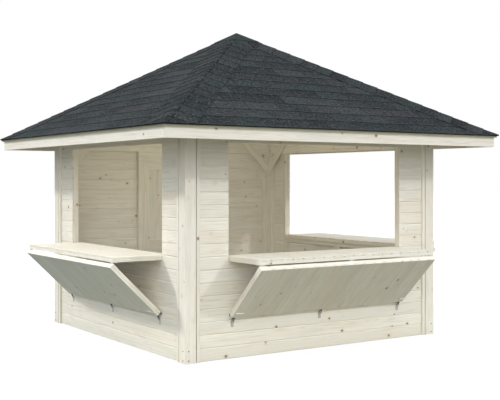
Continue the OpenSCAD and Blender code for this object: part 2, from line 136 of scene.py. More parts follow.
class Finish:
    """A node tree in the making."""

    def __init__(self, tree):
        self.tree = tree
        tree.nodes.clear()

    def node(self, kind, settings=None, sockets=None, out=0):
        """One node: its settings are made first, then the values or links of its sockets."""
        made = self.tree.nodes.new(kind)
        for key, value in (settings or {}).items():
            if key == "stops":
                self.set_stops(made.color_ramp.elements, value)
            else:
                setattr(made, key, value)
        for key, value in (sockets or {}).items():
            if isinstance(value, Wire):
                self.tree.links.new(value.socket, made.inputs[key])
            else:
                made.inputs[key].default_value = value
        return Wire(self, made.outputs[out]) if made.outputs else made

    @staticmethod
    def set_stops(elements, stops):
        while len(elements) < len(stops):
            elements.new(1.0)
        for element, (place, colour) in zip(elements, stops):
            element.position, element.color = place, (*colour, 1)

    def attribute(self, name):
        return self.node("ShaderNodeAttribute", {"attribute_name": name}, out="Vector")

    def parts(self, vector):
        made = self.node("ShaderNodeSeparateXYZ", None, {0: vector}).socket.node
        return [Wire(self, socket) for socket in made.outputs]

    def stretch(self, vector, by):
        return self.node("ShaderNodeVectorMath", {"operation": "MULTIPLY"}, {0: vector, 1: by})

    def noise(self, vector, detail=2.0, roughness=0.5, out=0):
        return self.node(
            "ShaderNodeTexNoise", None,
            {"Vector": vector, "Scale": 1.0, "Detail": detail, "Roughness": roughness}, out)

    def cells(self, vector, out):
        return self.node("ShaderNodeTexVoronoi", None, {"Vector": vector, "Scale": 1.0}, out)

    def step(self, value, low, high):
        """0 below low, 1 above high, smooth between; with low over high it falls instead."""
        return self.node(
            "ShaderNodeMapRange", {"interpolation_type": "SMOOTHSTEP"}, {0: value, 1: low, 2: high})

    def mix(self, first, second, share):
        first, second = [(*c, 1) if isinstance(c, tuple) else c for c in (first, second)]
        return self.node("ShaderNodeMix", {"data_type": "RGBA"}, {0: share, 6: first, 7: second}, 2)

    def surface(self, colour, roughness, height, depth, metallic=0.0, specular=0.5, chalky=0.0):
        """Principled surface with a bump; depth is the height of the bump in metres."""
        normal = self.node(
            "ShaderNodeBump", None, {"Strength": 1.0, "Distance": depth, "Height": height})
        shader = self.node("ShaderNodeBsdfPrincipled", None, {
            "Base Color": colour, "Roughness": roughness, "Metallic": metallic,
            "Specular IOR Level": specular, "Diffuse Roughness": chalky, "Normal": normal})
        self.node("ShaderNodeOutputMaterial", None, {"Surface": shader})

    def matt(self, colour):
        return self.node("ShaderNodeBsdfDiffuse", None, {"Color": (*colour, 1)})

    def sky(self, colour, strength):
        sockets = {"Color": (*colour, 1), "Strength": strength}
        return self.node("ShaderNodeBackground", None, sockets)

    def blend(self, share, first, second):
        return self.node("ShaderNodeMixShader", None, {0: share, 1: first, 2: second})

    def looked_at(self):
        """1 where floor or sky is seen, straight or in metal, and 0 where it gives light."""
        camera, glossy, through = [
            self.node("ShaderNodeLightPath", out=ray)
            for ray in ("Is Camera Ray", "Is Glossy Ray", "Is Transmission Ray")]
        return camera.math("MAXIMUM", glossy).math("MAXIMUM", through)


def new_finish(name):
    material = bpy.data.materials.new(name)
    material.use_nodes = True
    return material, Finish(material.node_tree)


def planed_spruce():
    """Pale planed boards: rings round an unseen pith, fibres, knots, eased edges, and sawn sides
    painted dark as shade.
    """
    material, f = new_finish("planed_spruce")
    grain = f.attribute("grain")
    _, across, through = f.parts(grain)
    tone, arris, sawn_shade = f.parts(f.attribute("mark"))

    # one knot in each cell of the timber, most of them too small or too deep to show
    knot_cell = (0.21, 0.085, 0.08)
    cells = f.stretch(grain, tuple(1 / s for s in knot_cell))
    heart = f.stretch(f.cells(cells, "Position"), knot_cell)
    chance, kind, _ = f.parts(f.cells(cells, "Color"))
    off = f.node("ShaderNodeVectorMath", {"operation": "SUBTRACT"}, {0: grain, 1: heart})
    off = f.stretch(off, (0.8, 1.0, 1.0))
    ragged = f.noise(f.stretch(grain, (160, 160, 160)), 2.0)
    away = f.node("ShaderNodeVectorMath", {"operation": "LENGTH"}, {0: off}, "Value")
    away = away + (ragged - 0.5) * 0.003
    radius = f.step(chance, 0.15, 1.0) * 0.0108 + 0.0008
    core = 1 - f.step(away, radius * 0.72, radius)
    rim = (1 - f.step(away, radius, radius * 1.35)) - core
    halo = 1 - f.step(away, radius * 0.8, radius * 3.2)

    # year rings, which wander along the board and bend round its knots
    ring_gap = 0.0052
    sway_v, sway_w, _ = f.parts(f.noise(f.stretch(grain, (0.55, 2.0, 2.0)), 1.0, 0.4, "Color"))
    pith_v, pith_w = across + (sway_v - 0.5) * 0.07, through + (sway_w - 0.5) * 0.07
    ring = (pith_v * pith_v + pith_w * pith_w) ** 0.5 + halo * 0.006
    ring = ring + f.noise(f.stretch(grain, (2.5, 30, 30)), 2.0) * 0.003
    late = f.step((ring * (math.tau / ring_gap)).math("SINE"), 0.1, 1.0)
    fibre = f.noise(f.stretch(grain, (14, 700, 700)), 2.0, 0.6)
    streak = f.noise(f.stretch(grain, (1.1, 26, 26)), 3.0, 0.6)
    strand = f.noise(f.stretch(grain, (3.5, 95, 95)), 2.0, 0.6)
    cloud = f.noise(f.stretch(grain, (2.2, 7, 7)), 2.0)

    # the board's own colour: its tone, and a second draw worked out of the tone
    colour = f.mix((0.770, 0.760, 0.680), (0.825, 0.800, 0.715), f.step(tone, 0.0, 0.45))
    colour = f.mix(colour, (0.815, 0.765, 0.660), f.step(tone, 0.55, 1.0))
    second_draw = (tone * 57.31).math("FRACT")
    colour = f.mix(colour, (0.700, 0.670, 0.580), second_draw * 0.46)
    # its grain
    colour = f.mix(colour, (0.700, 0.610, 0.465), f.step(streak, 0.48, 0.76) * 0.66)
    colour = f.mix(colour, (0.650, 0.645, 0.565), f.step(cloud, 0.50, 0.76) * 0.44)
    colour = f.mix(colour, (0.610, 0.540, 0.420), f.step(strand, 0.52, 0.72) * 0.56)
    colour = f.mix(colour, (0.650, 0.550, 0.405), late * 0.30)
    colour = f.mix(colour, (0.575, 0.515, 0.415), f.step(fibre, 0.50, 0.85) * 0.26)
    # its knots
    knot = f.mix((0.110, 0.080, 0.055), (0.250, 0.175, 0.110), kind)
    colour = f.mix(colour, (0.590, 0.450, 0.290), halo * 0.30)
    colour = f.mix(colour, knot, core * 0.90)
    colour = f.mix(colour, (0.100, 0.060, 0.035), rim * 0.55 * f.step(kind, 0.7, 0.4))
    # sawn sides, painted dark olive as the shade under the roof covering; rubbed edges; and
    # splashes near the ground
    colour = f.mix(colour, (0.270, 0.262, 0.160), sawn_shade * 0.88)
    colour = f.mix(colour, (0.850, 0.805, 0.690), arris * f.step(streak, 0.30, 0.60) * 0.45)
    height_up = f.parts(f.node("ShaderNodeNewGeometry", out="Position"))[2]
    soil = f.step(height_up + (cloud - 0.5) * 0.16, 0.13, 0.0)
    colour = f.mix(colour, (0.540, 0.500, 0.410), soil * 0.14)

    rough = 0.66 - late * 0.10 + fibre * 0.10 - core * 0.16 + sawn_shade * 0.10
    relief = late * 0.45 + fibre * 0.75 + core * 0.5 - rim * 0.6
    f.surface(colour, rough, relief, 0.00035, specular=0.35)
    return material


def mineral_shingle():
    """Charcoal felt with slate granules: each tab has its own shade, worn paler at the butt."""
    material, f = new_finish("mineral_shingle")
    grain = f.attribute("grain")
    tone, shade, butt = f.parts(f.attribute("mark"))
    granules = f.stretch(grain, (420, 420, 420))
    grit_a, grit_b, _ = f.parts(f.cells(granules, "Color"))
    bead = f.cells(granules, "Distance")
    patch = f.noise(f.stretch(grain, (17, 22, 22)), 3.0, 0.65)
    speck = f.noise(f.stretch(grain, (48, 40, 48)), 3.0, 0.8)
    wide = f.noise(f.stretch(grain, (3.5, 5, 5)), 2.0)

    colour = f.node("ShaderNodeValToRGB", {"stops": [
        (0.0, (0.011, 0.014, 0.0155)), (0.22, (0.0265, 0.030, 0.0335)),
        (0.42, (0.030, 0.043, 0.039)), (0.60, (0.0165, 0.020, 0.022)),
        (0.80, (0.044, 0.052, 0.052)), (1.0, (0.0385, 0.0365, 0.043))]}, {0: tone})
    # patches and specks of darker and paler slate, down to single granules
    colour = f.mix(colour, (0.012, 0.014, 0.016), f.step(patch, 0.48, 0.68) * 0.65)
    colour = f.mix(colour, (0.070, 0.078, 0.080), f.step(patch, 0.48, 0.30) * 0.50)
    colour = f.mix(colour, (0.042, 0.051, 0.051), f.step(wide, 0.48, 0.75) * 0.40)
    colour = f.mix(colour, (0.008, 0.010, 0.011), f.step(speck, 0.50, 0.40) * 0.58)
    colour = f.mix(colour, (0.134, 0.146, 0.149), f.step(speck, 0.52, 0.66) * 0.55)
    colour = f.mix(colour, (0.008, 0.010, 0.011), f.step(grit_a, 0.35, 0.0) * 0.50)
    colour = f.mix(colour, (0.090, 0.098, 0.102), f.step(grit_b, 0.76, 1.0) * 0.36)
    # darker up the tab, painted shadow under the next course's butt, wear at the butt
    colour = f.mix(colour, (0.009, 0.011, 0.012), (1 - butt) * 0.50 * shade)
    colour = f.mix(colour, (0.008, 0.010, 0.010), f.step(butt, 0.20, 0.06) * 0.90)
    colour = f.mix(colour, (0.045, 0.051, 0.053), f.step(butt, 0.86, 1.0) * 0.30)

    rough = 0.95 - f.step(grit_b, 0.7, 1.0) * 0.08
    relief = (1 - bead) * 0.6 + patch * 0.8 + speck * 1.2
    f.surface(colour, rough, relief, 0.0020, specular=0.05, chalky=1.0)
    return material


def zinc_steel():
    """Galvanised fittings: spangle, dull bloom, rubbed edges; tone 0 paints shade, 1 a highlight.
    """
    material, f = new_finish("zinc_steel")
    place = f.node("ShaderNodeTexCoord", out="Object")
    flake, _, _ = f.parts(f.cells(f.stretch(place, (150, 150, 150)), "Color"))
    bloom = f.noise(f.stretch(place, (45, 45, 45)), 4.0, 0.6)
    scratch = f.noise(f.stretch(place, (900, 900, 120)), 1.0)
    tone, arris, _ = f.parts(f.attribute("mark"))

    colour = f.mix((0.37, 0.36, 0.335), (0.50, 0.485, 0.455), flake)
    colour = f.mix(colour, (0.29, 0.28, 0.25), f.step(bloom, 0.50, 0.75) * 0.7)
    colour = f.mix(colour, (0.62, 0.62, 0.61), arris * f.step(bloom, 0.35, 0.60) * 0.6)
    # painted shade: near black where the tone is near 0, as on the hinge straps and post screws
    colour = f.mix(colour, (0.075, 0.072, 0.056), f.step(tone, 0.20, 0.05))
    # painted highlight: near white where the tone is near 1, as on the hinge knuckles and flap
    # handles
    colour = f.mix(colour, (0.66, 0.65, 0.61), f.step(tone, 0.70, 0.95))

    rough = 0.34 + flake * 0.12 + f.step(bloom, 0.45, 0.75) * 0.20
    f.surface(colour, rough, flake * 0.2 + scratch * 0.4, 0.00012, metallic=1.0)
    return material


SPRUCE, SHINGLE, ZINC = planed_spruce(), mineral_shingle(), zinc_steel()

# ---------------------------------------------------------------- stock: boards, felt and fittings

# the third share of a timber's mark: a little of the dark colour for end grain, all of it for a
# sawn side painted as shade
END_GRAIN, SHADED_SAWN_SIDE = 0.08, 1.0


def cut_from_log():
    """Where a length of timber lay in its log: across and through from the pith, and along."""
    across = rng.uniform(-0.06, 0.06)
    through = rng.choice((-1, 1)) * rng.uniform(0.015, 0.09)
    return across, through, rng.uniform(0, 60)


def tube(n, rings):
    """Faces of a closed tube, whose points come ring after ring, n to a ring."""
    faces = [
        [r * n + k, r * n + (k + 1) % n, (r + 1) * n + (k + 1) % n, (r + 1) * n + k]
        for r in range(rings - 1) for k in range(n)]
    return faces + [list(range(n))[::-1], list(range((rings - 1) * n, rings * n))]


class Stock:
    """Collects solid pieces, then makes them one mesh with grain and mark on every corner.

    grain is where the corner lies in its own timber or felt, in metres: along, across, through.
    mark holds three shares. On timber and fittings they are the tone of the piece, 1 on an eased
    edge, and how much of the dark colour of end grain and of a sawn side painted as shade it takes.
    On fittings a tone near 0 paints shade and one near 1 a highlight. On felt they are the tone of
    the tab, how much it darkens up its length, and 1 at its butt falling to 0 where the next course
    covers it and paints its shadow.
    """

    def __init__(self):
        self.points, self.faces, self.grain, self.mark = [], [], [], []

    def solid(self, points, faces, grain, mark):
        """faces index points; grain has an entry per point and mark one per face, or per corner."""
        volume = 0.0
        for face in faces:
            a = points[face[0]]
            for i, j in zip(face[1:], face[2:]):
                volume += a.dot(points[i].cross(points[j]))
        base = len(self.points)
        self.points.extend(points)
        for face, m in zip(faces, mark):
            m = m if isinstance(m, list) else [m] * len(face)
            order = range(len(face)) if volume > 0 else range(len(face) - 1, -1, -1)
            self.faces.append([base + face[k] for k in order])
            self.grain.extend(grain[face[k]] for k in order)
            self.mark.extend(m[k] for k in order)

    def board(self, place, profile, u0, u1, tone=None, ease=0.0012, sawn_shade=None):
        """A length of timber: profile is (across, through, eased side) and u0 and u1 its ends,
        which are numbers, or functions of across and through where the end is cut at a slant.
        The last argument names a side that is left sawn and painted dark as shade."""
        tone = within(rng.gauss(0.5, 0.24)) if tone is None else tone
        pith_v, pith_w, shift = cut_from_log()
        vs, ws = [p[0] for p in profile], [p[1] for p in profile]
        vm, wm = (min(vs) + max(vs)) / 2, (min(ws) + max(ws)) / 2
        sv, sw = 1 - ease / (max(vs) - vm), 1 - ease / (max(ws) - wm)
        rings = ((u0, 0, True), (u0, ease, False), (u1, -ease, False), (u1, 0, True))
        points, grain = [], []
        for end, inward, inset in rings:
            for v, w, _ in profile:
                u = (end(v, w) if callable(end) else end) + inward
                if inset:
                    v, w = vm + (v - vm) * sv, wm + (w - wm) * sw
                points.append(place(u, v, w))
                grain.append((u + shift, v - vm + pith_v, w - wm + pith_w))
        mark = [
            (tone, eased if length == 1 else 1.0, SHADED_SAWN_SIDE if k == sawn_shade else 0.0)
            for length in range(len(rings) - 1) for k, (_, _, eased) in enumerate(profile)]
        mark += [(tone, 0.0, END_GRAIN)] * 2
        self.solid(points, tube(len(profile), len(rings)), grain, mark)

    def sheet(self, tops, lows, grain, worn):
        """A thin piece between two like outlines; worn is the mark of each point of an outline."""
        n = len(tops)
        faces = [list(range(n)), list(range(2 * n - 1, n - 1, -1))]
        mark = [worn, worn[::-1]]
        for k in range(n):
            j = (k + 1) % n
            faces.append([k, n + k, n + j, j])
            mark.append([worn[k], worn[k], worn[j], worn[j]])
        self.solid(tops + lows, faces, grain, mark)

    def screw(self, place, out, d, tone):
        """Flat round head with its drive recess, bedded on a face that looks towards out."""
        turn = Vector(out).to_track_quat("Z", "Y").to_matrix()
        # share of the radius, and height over the face
        rings = ((1.0, -0.0006), (1.0, 0.0005), (0.82, 0.0011), (0.42, 0.0012), (0.34, 0.0002))
        n = 12
        points = []
        for share, z in rings:
            for k in range(n):
                a, r = math.tau * k / n, share * d / 2
                points.append(Vector(place) + turn @ Vector((math.cos(a) * r, math.sin(a) * r, z)))
        faces = tube(n, len(rings))
        self.solid(points, faces, [tuple(p) for p in points], [(tone, 0.0, 0.0)] * len(faces))

    def from_solid(self, node, ease, segments=2, tone=None):
        """The solids of a CAD node, edges eased, each length of timber with its own grain.
        tone is a number, a pair for foot and head, or a function of the solid's middle."""
        whole = bmesh.new()
        whole.from_mesh(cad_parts[node].data)
        bmesh.ops.remove_doubles(whole, verts=whole.verts, dist=1e-5)
        bmesh.ops.dissolve_limit(whole, angle_limit=0.01, verts=whole.verts, edges=whole.edges)
        whole.faces.index_update()
        done = set()
        for first in whole.faces:
            if first in done:
                continue
            island, reach = {first}, [first]
            while reach:
                near = {g for e in reach.pop().edges for g in e.link_faces} - island
                island |= near
                reach.extend(near)
            done |= island
            self.one_solid(sorted(island, key=lambda face: face.index), ease, segments, tone)
        whole.free()

    def one_solid(self, island, ease, segments, tone):
        """Adds the solid whose faces island lists. Its grain runs along its longest edge."""
        one = bmesh.new()
        copied = {}
        for face in island:
            for v in face.verts:
                if v not in copied:
                    copied[v] = one.verts.new(v.co)
            one.faces.new([copied[v] for v in face.verts])
        one.normal_update()
        longest = max(one.edges, key=lambda e: e.calc_length())
        u = (longest.verts[1].co - longest.verts[0].co).normalized()
        v = Vector((0, 0, 1)) if abs(u.z) < 0.9 else Vector((1, 0, 0))
        v = (v - u * v.dot(u)).normalized()
        w = u.cross(v)
        middle = sum((p.co for p in one.verts), Vector()) / len(one.verts)

        least_angle = 0.35
        sharp = [
            e for e in one.edges
            if len(e.link_faces) == 2 and e.calc_face_angle(0) > least_angle and e.is_convex]
        made = bmesh.ops.bevel(
            one, geom=sharp, offset=ease, segments=segments, profile=0.5, affect="EDGES",
            clamp_overlap=True)
        rim = set(made["faces"])

        if tone is None:
            tone = within(rng.gauss(0.5, 0.22))
        elif callable(tone):
            tone = tone(middle)
        foot_tone, head_tone = tone if isinstance(tone, tuple) else (tone, tone)
        pith_v, pith_w, shift = cut_from_log()
        one.verts.index_update()
        one.normal_update()
        points = [p.co.copy() for p in one.verts]
        low_z, high_z = min(p.z for p in points), max(p.z for p in points)
        grain, tones = [], []
        for p in points:
            off = p - middle
            grain.append((off.dot(u) + shift, off.dot(v) + pith_v, off.dot(w) + pith_w))
            tones.append(foot_tone + (head_tone - foot_tone) * (p.z - low_z) / (high_z - low_z))
        faces, mark = [], []
        for face in one.faces:
            eased = 1.0 if face in rim else 0.0
            end = END_GRAIN if abs(face.normal.dot(u)) > 0.75 else 0.0
            faces.append([p.index for p in face.verts])
            mark.append([(tones[k], eased, end) for k in faces[-1]])
        self.solid(points, faces, grain, mark)
        one.free()

    def piece(self, name, finish, nodes=(), body="stall", smooth=False):
        """Makes the mesh, gives it its finish and sets it in place of the nodes it stands for."""
        mesh = bpy.data.meshes.new(name)
        mesh.from_pydata([tuple(p) for p in self.points], [], self.faces)
        for key, values in (("grain", self.grain), ("mark", self.mark)):
            layer = mesh.attributes.new(key, "FLOAT_VECTOR", "CORNER")
            layer.data.foreach_set("vector", np.array(values, np.float32).ravel())
        if smooth:
            mesh.shade_smooth()
            mesh.set_sharp_from_angle(angle=math.radians(32))
        mesh.materials.append(finish)
        piece = set_up(name, mesh)
        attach(piece, body)
        if nodes:
            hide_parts(*nodes)


def matched(cover, thick, vee, tongue=True, groove=True, joint=0.0010, backs=None):
    """Tongued and grooved section: across from 0 to cover, through from the show face inwards.
    vee is the bevel at the show face, backs the one behind, joint the gap between two boards."""
    tongue_out, tongue_root, tongue_tip = 0.0040, 0.0026, 0.0022
    groove_in, groove_half = 0.0160, 0.0040
    g, m = joint / 2, thick / 2
    b = vee if backs is None else backs
    tongue_side = [
        (cover - g, vee, 0), (cover - g, m - tongue_root, 0),
        (cover + tongue_out, m - tongue_tip, 0), (cover + tongue_out, m + tongue_tip, 0),
        (cover - g, m + tongue_root, 0)]
    groove_side = [
        (g, thick - b, 0), (g, m + groove_half, 0), (g + groove_in, m + groove_half, 0),
        (g + groove_in, m - groove_half, 0), (g, m - groove_half, 0)]
    profile = [(g + vee, 0, 0), (cover - g - vee, 0, 1)]
    profile += tongue_side if tongue else tongue_side[:1]
    profile += [(cover - g, thick - b, 1), (cover - g - b, thick, 0), (g + b, thick, 1)]
    profile += groove_side if groove else groove_side[:1]
    return profile + [(g, vee, 1)]


def planed(width, thick, ease):
    """Plain section with its four arrises taken off."""
    e = ease
    return [(e, 0, 0), (width - e, 0, 1), (width, e, 0), (width, thick - e, 1),
            (width - e, thick, 0), (e, thick, 1), (0, thick - e, 0), (0, e, 1)]


# ---------------------------------------------------------------- walls

wall_vee, wall_joint, slack = 0.0040, 0.0026, 0.001


def wall_rows(stock, side, x0, x1, low, high):
    """Horizontal boards between two heights, on courses that all the walls share."""
    row = math.floor((low + 2 * slack) / board_cover)
    while row * board_cover < high - 4 * slack:
        foot, head = row * board_cover, (row + 1) * board_cover
        z0, z1 = max(low, foot), min(high, head)
        tongue = head - slack < z1 < high - slack
        groove = row > 0 and z0 < foot + slack
        section = matched(z1 - z0, board_t, wall_vee, tongue, groove, wall_joint)
        stock.board(lambda u, v, w: at(side, u, clad - w, z0 + v), section, x0, x1)
        row += 1


for side in SERVING_SIDES:
    notch = (rows_to_counter - 1) * board_cover
    lower, upper = Stock(), Stock()
    wall_rows(lower, side, -post_in, post_in, 0.0, notch)
    wall_rows(lower, side, -open_x, open_x, notch, counter_under)
    for x0, x1 in ((-post_in, -open_x), (open_x, post_in)):
        wall_rows(upper, side, x0, x1, notch, lintel_z)
    lower.piece(f"{side}_lower_wall", SPRUCE, [f"{side}_lower_wall"])
    upper.piece(f"{side}_side_walls", SPRUCE, [f"{side}_side_walls"])

for name, x0, x1 in (
    ("back_wall_left", door_frame_x, post_in), ("back_wall_right", -post_in, -door_frame_x),
):
    back = Stock()
    wall_rows(back, "back", x0, x1, 0.0, lintel_z)
    back.piece(name, SPRUCE, [name])

# ---------------------------------------------------------------- posts, frame and roof timbers

# how far the edges of each are eased
TIMBERS = {
    "corner_posts": 0.0010, "wall_studs": 0.0022, "sill_rails": 0.0022, "cover_strips": 0.0018,
    "lintels": 0.0022, "front_plate": 0.0022, "back_plate": 0.0022, "left_plate": 0.0022,
    "right_plate": 0.0022, "knee_braces": 0.0022, "hip_rafters": 0.0022, "common_rafters": 0.0022,
    "peak_block": 0.0025, "front_fascia": 0.0020, "back_fascia": 0.0020, "left_fascia": 0.0020,
    "right_fascia": 0.0020, "door_jambs": 0.0020, "door_head": 0.0020, "door_threshold": 0.0030,
    "counter_frames": 0.0030, "flap_frames": 0.0030,
}
for node, ease in TIMBERS.items():
    timber = Stock()
    timber.from_solid(node, ease)
    timber.piece(node, SPRUCE, [node])

# ---------------------------------------------------------------- counters and flaps

least_board, back_bevel = 0.02, 0.0030
counter_vee, counter_joint, flap_vee, flap_joint = 0.0010, 0.0006, 0.0008, 0.0005
flap_len = ((flap_high.z - flap_low.z) - flap_board_t * cos_f) / sin_f
foot_h = -flap_high.y - (flap_t - flap_board_t) * sin_f
foot_z = flap_low.z + flap_t * cos_f


def boards_across(stock, place, thick, vee, joint, u0, u1, tone=None):
    """Boards side by side over a counter or a flap, the last one cut to width. place takes x
    along the wall, u along the boards and w into them; tone draws the tone of a board."""
    joints = [-counter_x]
    while joints[-1] + board_cover < counter_x - least_board:
        joints.append(joints[-1] + board_cover)
    joints.append(counter_x)
    for i, (x0, x1) in enumerate(zip(joints, joints[1:])):
        section = matched(x1 - x0, thick, vee, i < len(joints) - 2, i > 0, joint, back_bevel)
        own = None if tone is None else tone()
        stock.board(lambda u, v, w: place(x0 + v, u, w), section, u0, u1, own)


def pale_tone():
    return within(rng.gauss(0.3, 0.15), 0.5)


def on_flap(side, x, up, out):
    """x along the wall, up the slope from the foot, out of the boarded face."""
    return at(side, x, foot_h + up * cos_f + out * sin_f, foot_z + up * sin_f - out * cos_f)


for side in SERVING_SIDES:
    counter = Stock()
    boards_across(
        counter, lambda x, u, w: at(side, x, u, counter_z - w), counter_board_t,
        counter_vee, counter_joint, counter_in, counter_out, pale_tone)
    counter.piece(f"{side}_counter", SPRUCE, [f"{side}_counter"])

for side in SERVING_SIDES:
    flap = Stock()
    boards_across(
        flap, lambda x, u, w: on_flap(side, x, u, flap_t - w), flap_board_t,
        flap_vee, flap_joint, 0, flap_len)
    flap.piece(f"{side}_flap", SPRUCE, [f"{side}_flap"])

# ---------------------------------------------------------------- fittings

screw_in, screw_heights, screw_d = 0.036, (0.026, 0.107), 0.012


def fitting(node, ease=0.0005, tone=0.5):
    """The solids of a fitting, their edges just broken."""
    stock = Stock()
    stock.from_solid(node, ease, 1, tone)
    return stock


def hinge_painted_light(middle):
    """Knuckles under the counters painted bright as a highlight; straps painted darker as shade
    towards the foot of the flap.
    """
    return 1.0 if middle.z > counter_under - 0.05 else (0.34, -0.12)


fitting("flap_hinges", 0.0006, hinge_painted_light).piece("flap_hinges", ZINC, ["flap_hinges"], smooth=True)
# the handles take tone 1, painted bright as a highlight
fitting("flap_handles", 0.0008, 1.0).piece("flap_handles", ZINC, ["flap_handles"], smooth=True)

# screws at the foot of the posts take tone 0, their heads painted near black as shade
post_screws = Stock()
for side in SIDES:
    for x in (-half + screw_in, half - screw_in):
        for z in screw_heights:
            post_screws.screw(at(side, x, half, z), at(side, 0, 1, 0), screw_d, 0.0)
post_screws.piece("post_screws", ZINC, smooth=True)

# ---------------------------------------------------------------- back door

stile_w, top_rail, mid_rail, foot_rail, mid_top = 0.082, 0.082, 0.120, 0.150, 0.868
leaf_ease, panel_boards, panel_vee = 0.0025, 6, 0.0030
strap_h, strap_t, knuckle_len = 0.032, 0.003, 0.040
strap_screw_xs, strap_screw_d = (0.05, 0.13, 0.22), 0.009


def on_leaf(x, z, w):
    """w is measured from the outer face of the leaf inwards."""
    return Vector((x, leaf_high.y - w, z))


leaf = Stock()
span = leaf_high.x - stile_w
for x in (leaf_low.x, span):
    stile = planed(stile_w, leaf_t, leaf_ease)
    leaf.board(lambda u, v, w: on_leaf(x + v, u, w), stile, leaf_low.z, leaf_high.z)
for z, tall in (
    (leaf_low.z, foot_rail), (mid_top - mid_rail, mid_rail), (leaf_high.z - top_rail, top_rail),
):
    rail = planed(tall, leaf_t, leaf_ease)
    leaf.board(lambda u, v, w: on_leaf(u, z + v, w), rail, -span, span)
leaf.piece("door_leaf", SPRUCE, ["door_leaf"], "door")

panels = Stock()
panel_cover, panel_w = 2 * span / panel_boards, (leaf_t - panel_t) / 2
for z0, z1 in ((leaf_low.z + foot_rail, mid_top - mid_rail), (mid_top, leaf_high.z - top_rail)):
    for i in range(panel_boards):
        x0 = -span + i * panel_cover
        section = matched(panel_cover, panel_t, panel_vee, i < panel_boards - 1, i > 0)
        panels.board(lambda u, v, w: on_leaf(x0 + v, u, panel_w + w), section, z0, z1)
panels.piece("door_panels", SPRUCE, ["door_panels"], "door")

straps = fitting("door_straps")
for z in (strap_low.z + strap_h / 2, strap_high.z - knuckle_len + strap_h / 2):
    for x in strap_screw_xs:
        straps.screw(
            (leaf_low.x + x, leaf_high.y + strap_t, z), (0, 1, 0), strap_screw_d, 0.5)
straps.piece("door_straps", ZINC, ["door_straps"], "door", smooth=True)
fitting("door_levers").piece("door_levers", ZINC, ["door_levers"], "door", smooth=True)
fitting("door_pintles").piece("door_pintles", ZINC, ["door_pintles"], smooth=True)

# ---------------------------------------------------------------- roof boarding

deck_len = deck_edge / cos_p
deck_vee, deck_bevel, deck_ease, deck_tip, hip_gap = 0.0026, 0.0006, 0.0004, 0.002, 0.0006
least_row, plumb_zone = 0.01, 0.02


def on_roof(side, edge, peak, u, v, w):
    """u along the eave, v up the slope from a plumb edge at h = edge, w square into the roof."""
    h = edge - v * cos_p - w * sin_p
    return at(side, u, h, peak - edge * tan_p + v * sin_p - w * cos_p)


def hip_cut(v0, sign):
    """The slanting end, at a hip, of the board that starts v0 up the slope."""
    def end(v, w):
        return sign * max(deck_tip, deck_edge - (v0 + v) * cos_p - w * sin_p - hip_gap)
    return end


for side in SIDES:
    deck = Stock()
    v0, row = 0.0, 0
    while v0 < deck_len - least_row:
        v1 = min(v0 + board_cover, deck_len - deck_tip)
        section = matched(
            v1 - v0, deck_t, deck_vee, v1 < deck_len - least_row, row > 0, backs=deck_bevel)
        # the boarding shows its face below, and its first board is cut plumb, left sawn and painted
        # dark as the shade under the covering's edge
        section = [(v, deck_t - w, eased) for v, w, eased in section]
        if row == 0:
            section = [
                (v - w * tan_p if v < plumb_zone else v, w, eased) for v, w, eased in section]
        deck.board(
            lambda u, v, w: on_roof(side, deck_edge, deck_peak, u, v0 + v, w), section,
            hip_cut(v0, -1), hip_cut(v0, 1), ease=deck_ease,
            sawn_shade=len(section) - 2 if row == 0 else None)
        v0, row = v1, row + 1
    deck.piece(f"{side}_deck", SPRUCE, [f"{side}_deck"])

# ---------------------------------------------------------------- shingles

exposure, tab_w, slot_w, tab_lift, step_up, felt_t = 0.163, 0.333, 0.006, 0.0050, 0.0042, 0.0045
least_tab, least_course, eave_drip = 0.02, 0.03, 0.002
starter_len, starter_lift, starter_dip, starter_t = 0.20, 0.0002, 0.012, 0.0052
roof_len = eave / cos_p


def clip(points, keep):
    """Part of a convex outline where keep(point) is not negative."""
    kept = []
    for p, q in zip(points, points[1:] + points[:1]):
        a, b = keep(p), keep(q)
        if a >= 0:
            kept.append(p)
        if (a >= 0) != (b >= 0):
            s = a / (a - b)
            kept.append((p[0] + (q[0] - p[0]) * s, p[1] + (q[1] - p[1]) * s))
    return kept


def lay_felt(stock, side, outline, lift, thick, tone, shade, butt):
    """A flat piece of felt: outline in u and v on one roof face. lift(v) is the height of its top
    over that face, and butt(v) the third share of its mark."""
    tops = [on_roof(side, eave, roof_peak, u, v, -lift(v)) for u, v in outline]
    lows = [on_roof(side, eave, roof_peak, u, v, thick - lift(v)) for u, v in outline]
    shift = rng.uniform(0, 40)
    grain = [(u + shift, v, through) for through in (0.0, -thick) for u, v in outline]
    stock.sheet(tops, lows, grain, [(tone, shade, butt(v)) for _, v in outline])


def lay_course(stock, side, course):
    """One course of tabs, half a tab off the course below it and cut to both hips."""
    v0 = course * exposure
    v1 = min(v0 + 2 * exposure, roof_len)
    u0 = -eave - tab_w + (course % 2) * tab_w / 2 + rng.uniform(-0.02, 0.02)
    tone = rng.random()
    while u0 < eave:
        # neighbours come from one pack, so their shades run together for a tab or two
        tone = rng.random() if rng.random() < 0.55 else within(tone + rng.gauss(0, 0.06))
        low = v0 - (eave_drip if course == 0 else rng.uniform(0.0, 0.004))
        sag = rng.uniform(-0.0012, 0.0012)
        left, right = u0 + slot_w / 2, u0 + tab_w - slot_w / 2
        outline = [
            (left, low), (u0 + tab_w / 2, low + sag), (right, low), (right, v1), (left, v1)]
        for sign in (-1, 1):
            outline = clip(outline, lambda p: eave - p[1] * cos_p - sign * p[0])
        if len(outline) > 2 and max(p[1] for p in outline) > v0 + least_tab:
            lay_felt(
                stock, side, outline, lambda v: tab_lift - (v - v0) / exposure * step_up, felt_t,
                tone, rng.random(), lambda v: max(0.0, 1 - (v - v0) / exposure))
        u0 += tab_w


